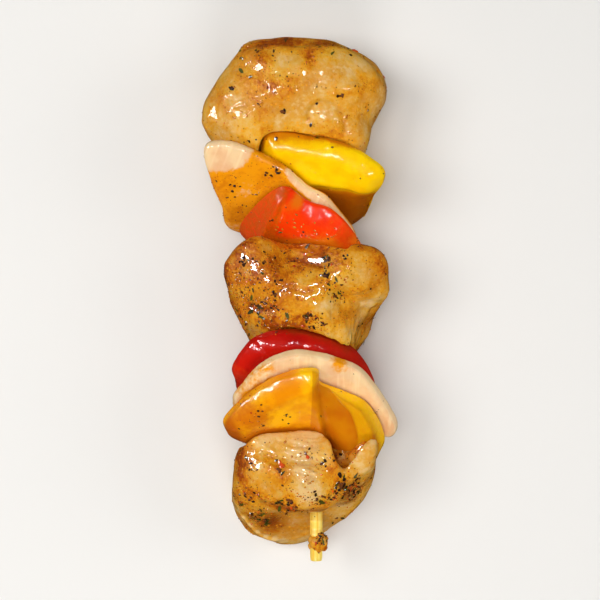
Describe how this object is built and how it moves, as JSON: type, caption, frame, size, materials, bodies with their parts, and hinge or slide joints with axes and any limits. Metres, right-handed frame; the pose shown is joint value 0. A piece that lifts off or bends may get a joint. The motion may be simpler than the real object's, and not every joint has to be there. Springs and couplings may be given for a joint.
{
  "type": "raw chicken kebab skewer",
  "caption": "Raw marinated chicken chunks, sweet pepper slices and onion petals threaded on a bamboo stick, lying down.",
  "frame": {"origin": "centre of the bounding box at the surface that the kebab lies on", "axes": "+Y along the stick towards its hidden point, +X to the right seen from above with +Y up, +Z up towards the side that shows"},
  "size_m": [0.0571, 0.1519, 0.038],
  "materials": {
    "meat": null,
    "pepper_yellow": null,
    "pepper_golden": null,
    "pepper_red": null,
    "onion": null,
    "bamboo": "bare bamboo"
  },
  "bodies": {
    "root": {"chicken_bottom": "meat", "chicken_middle": "meat", "chicken_top": "meat", "golden_pepper": "pepper_golden", "onion_lower": "onion", "onion_upper": "onion", "red_pepper_lower": "pepper_red", "red_pepper_upper": "pepper_red", "stick": "bamboo", "yellow_pepper": "pepper_yellow"}
  },
  "joints": []
}
